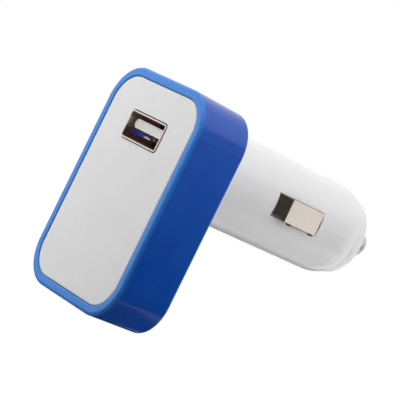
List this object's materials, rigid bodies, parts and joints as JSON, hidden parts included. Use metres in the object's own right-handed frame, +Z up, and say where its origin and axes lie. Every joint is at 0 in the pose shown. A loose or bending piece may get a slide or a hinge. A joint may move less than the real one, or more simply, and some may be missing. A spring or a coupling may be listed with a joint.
{
  "type": "car usb charger plug",
  "caption": "White car charger plug with a rounded-rectangle head, blue edge frame, one USB port and a round barrel with sprung side and tip contacts.",
  "frame": {"origin": "on the barrel's axis, in the plane of the head's back face", "axes": "+Y along the barrel's axis from the head to the tip; +Z up along the head's long side, with most of the head below the barrel; +X to the right seen from the front of the head"},
  "size_m": [0.0336, 0.0595, 0.0464],
  "materials": {
    "white_abs": "semi-gloss moulded",
    "blue_abs": "semi-gloss moulded",
    "nickel": "nickel-plated strip and turned tip",
    "spring_steel": "drawn wire",
    "shell_steel": "tin-plated sheet",
    "white_insulator": "satin moulded",
    "gold_plate": "plated strip",
    "board_laminate": "solder mask",
    "ferrite": "dull fired",
    "copper": "enamelled wire",
    "can_aluminium": "sleeved can",
    "chip_resin": "moulded",
    "lamp_resin": "clear tinted"
  },
  "bodies": {
    "plug": {"face_plate": "white_abs", "plug_body": "white_abs", "nose_ring": "white_abs", "frame_ring": "blue_abs", "spring_terminal": "nickel", "ground_bracket": "nickel", "tip_spring": "spring_steel", "usb_shell": "shell_steel", "usb_tongue": "white_insulator", "usb_contact_1": "gold_plate", "usb_contact_2": "gold_plate", "usb_contact_3": "gold_plate", "usb_contact_4": "gold_plate", "main_board": "board_laminate", "inductor_core": "ferrite", "inductor_winding": "copper", "output_capacitor": "can_aluminium", "input_capacitor": "can_aluminium", "converter_chip": "chip_resin", "diode": "chip_resin", "chip_resistors": "chip_resin", "indicator_led": "lamp_resin"},
    "tip": {"tip_contact": "nickel"},
    "right_contact": {"side_contact_right": "nickel"},
    "left_contact": {"side_contact_left": "nickel"}
  },
  "joints": [
    {"name": "tip_press", "type": "slide", "parent": "plug", "child": "tip", "axis": [0, -1, 0], "range_m": [0, 0.003], "stiffness_N_per_m": 400, "springref_m": -0.002, "deforming": ["tip_spring"]},
    {"name": "right_contact_press", "type": "hinge", "parent": "plug", "child": "right_contact", "pos_m": [0.0071, 0.029, 0.0003], "axis": [0, 0, -1], "range_deg": [0, 10], "stiffness_Nm_per_rad": 0.22, "springref_deg": -2.86},
    {"name": "left_contact_press", "type": "hinge", "parent": "plug", "child": "left_contact", "pos_m": [-0.0071, 0.029, 0.0003], "axis": [0, 0, 1], "range_deg": [0, 10], "stiffness_Nm_per_rad": 0.22, "springref_deg": -2.86}
  ]
}
